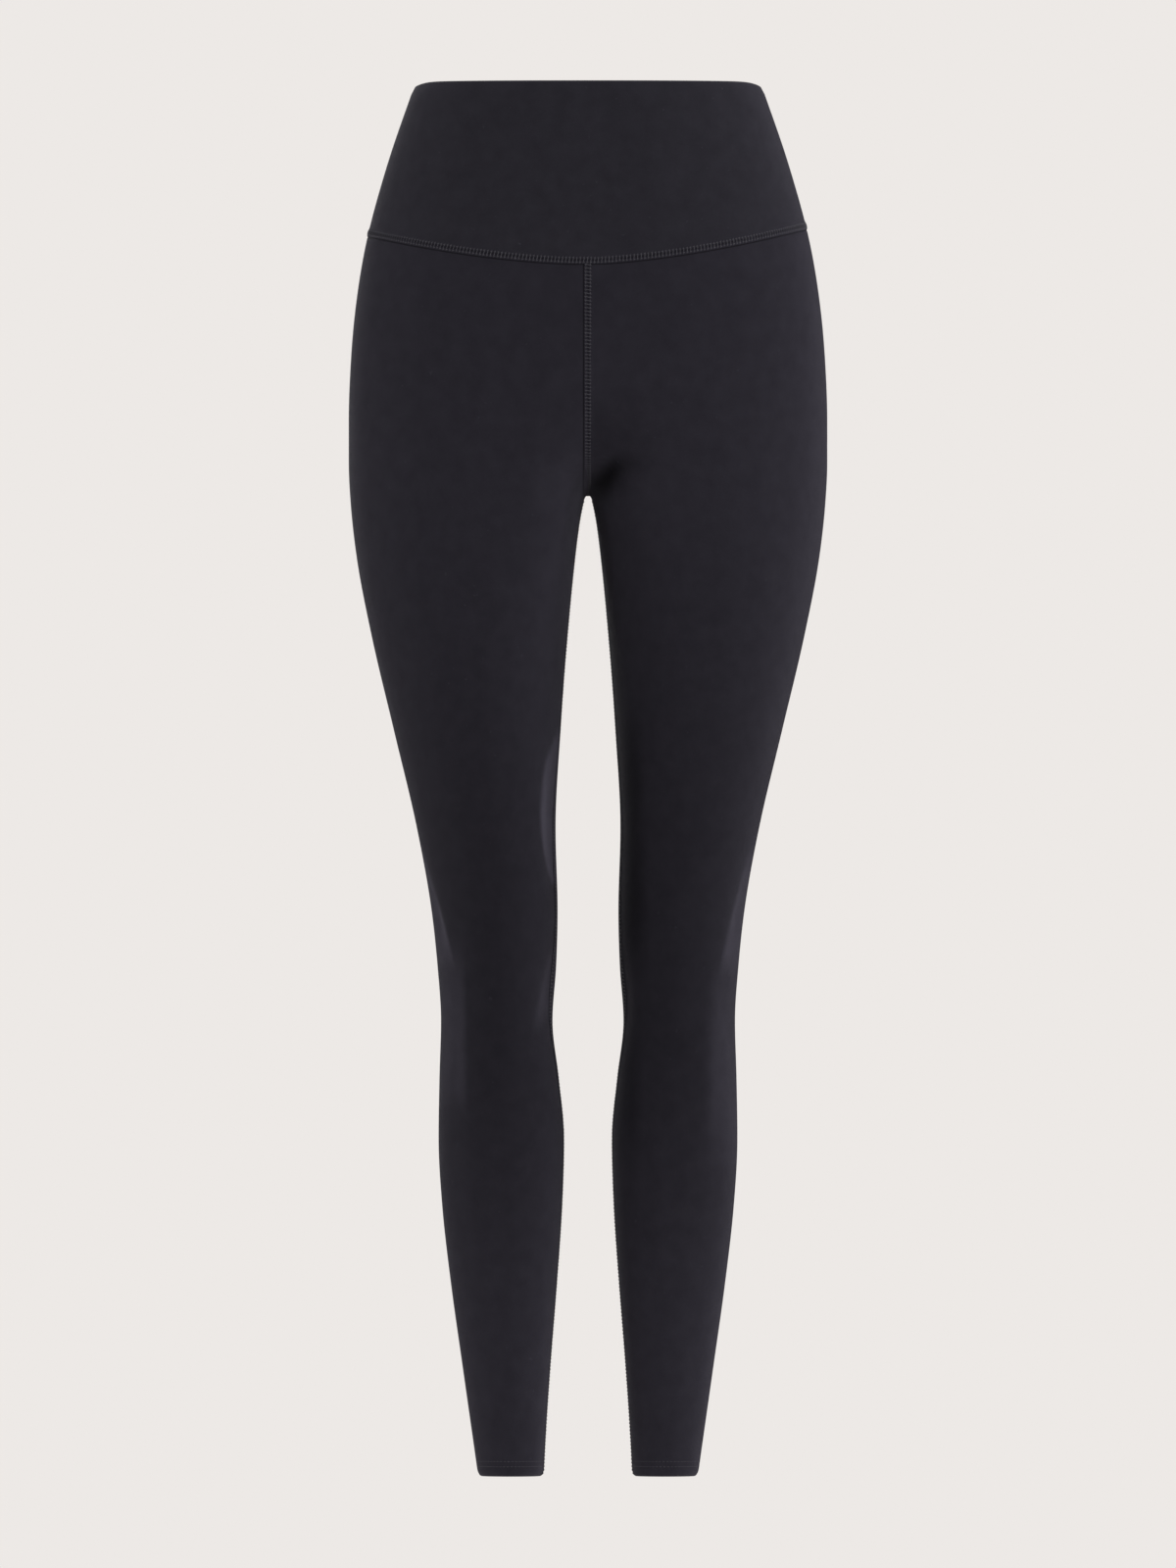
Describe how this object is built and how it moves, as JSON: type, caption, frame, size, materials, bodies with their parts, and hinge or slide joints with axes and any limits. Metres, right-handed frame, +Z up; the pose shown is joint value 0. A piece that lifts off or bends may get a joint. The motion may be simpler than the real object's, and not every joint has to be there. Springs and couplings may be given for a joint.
{
  "type": "high-waisted leggings",
  "caption": "Full-length high-waisted leggings in the hollow shape they take when worn, with a deep curved waistband and slim tapered legs, open at the waist and hems.",
  "frame": {"origin": "middle of the waist opening, level with the top edge of the waistband", "axes": "+Z up towards the waist, -Y out of the front, +X to the wearer's left"},
  "size_m": [0.347, 0.234, 1.01],
  "materials": {
    "jersey": "matt brushed stretch jersey, dark charcoal with a faint violet cast"
  },
  "bodies": {
    "root": {"waistband_front": "jersey", "waistband_back": "jersey", "leg_left": "jersey", "leg_right": "jersey"}
  },
  "joints": []
}
